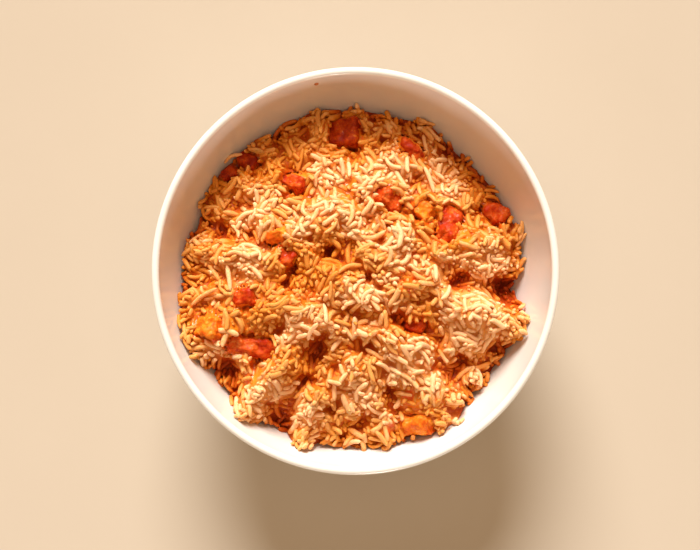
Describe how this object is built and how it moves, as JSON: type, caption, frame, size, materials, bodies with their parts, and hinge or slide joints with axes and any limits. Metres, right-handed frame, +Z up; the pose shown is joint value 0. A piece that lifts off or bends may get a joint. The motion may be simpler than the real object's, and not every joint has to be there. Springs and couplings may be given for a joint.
{
  "type": "bowl of spanish rice",
  "caption": "Round white bowl on a low foot ring, heaped with orange tomato rice and pieces of diced tomato.",
  "frame": {"origin": "middle of the foot ring, on the surface that the bowl stands on", "axes": "+Z up, -Y towards the near side of the picture, +X to its right"},
  "size_m": [0.155, 0.155, 0.0699],
  "materials": {
    "glazed_white": "smooth warm white glaze",
    "tomato_rice": "moist cooked rice stained orange by tomato",
    "tomato_flesh": "wet cooked tomato, orange-red"
  },
  "bodies": {
    "root": {"Bowl": "glazed_white", "Rice": "tomato_rice", "Tomato_01": "tomato_flesh", "Tomato_02": "tomato_flesh", "Tomato_03": "tomato_flesh", "Tomato_04": "tomato_flesh", "Tomato_05": "tomato_flesh", "Tomato_06": "tomato_flesh", "Tomato_07": "tomato_flesh", "Tomato_08": "tomato_flesh", "Tomato_09": "tomato_flesh", "Tomato_10": "tomato_flesh", "Tomato_11": "tomato_flesh", "Tomato_12": "tomato_flesh", "Tomato_13": "tomato_flesh", "Tomato_14": "tomato_flesh", "Tomato_15": "tomato_flesh", "Tomato_16": "tomato_flesh"}
  },
  "joints": []
}
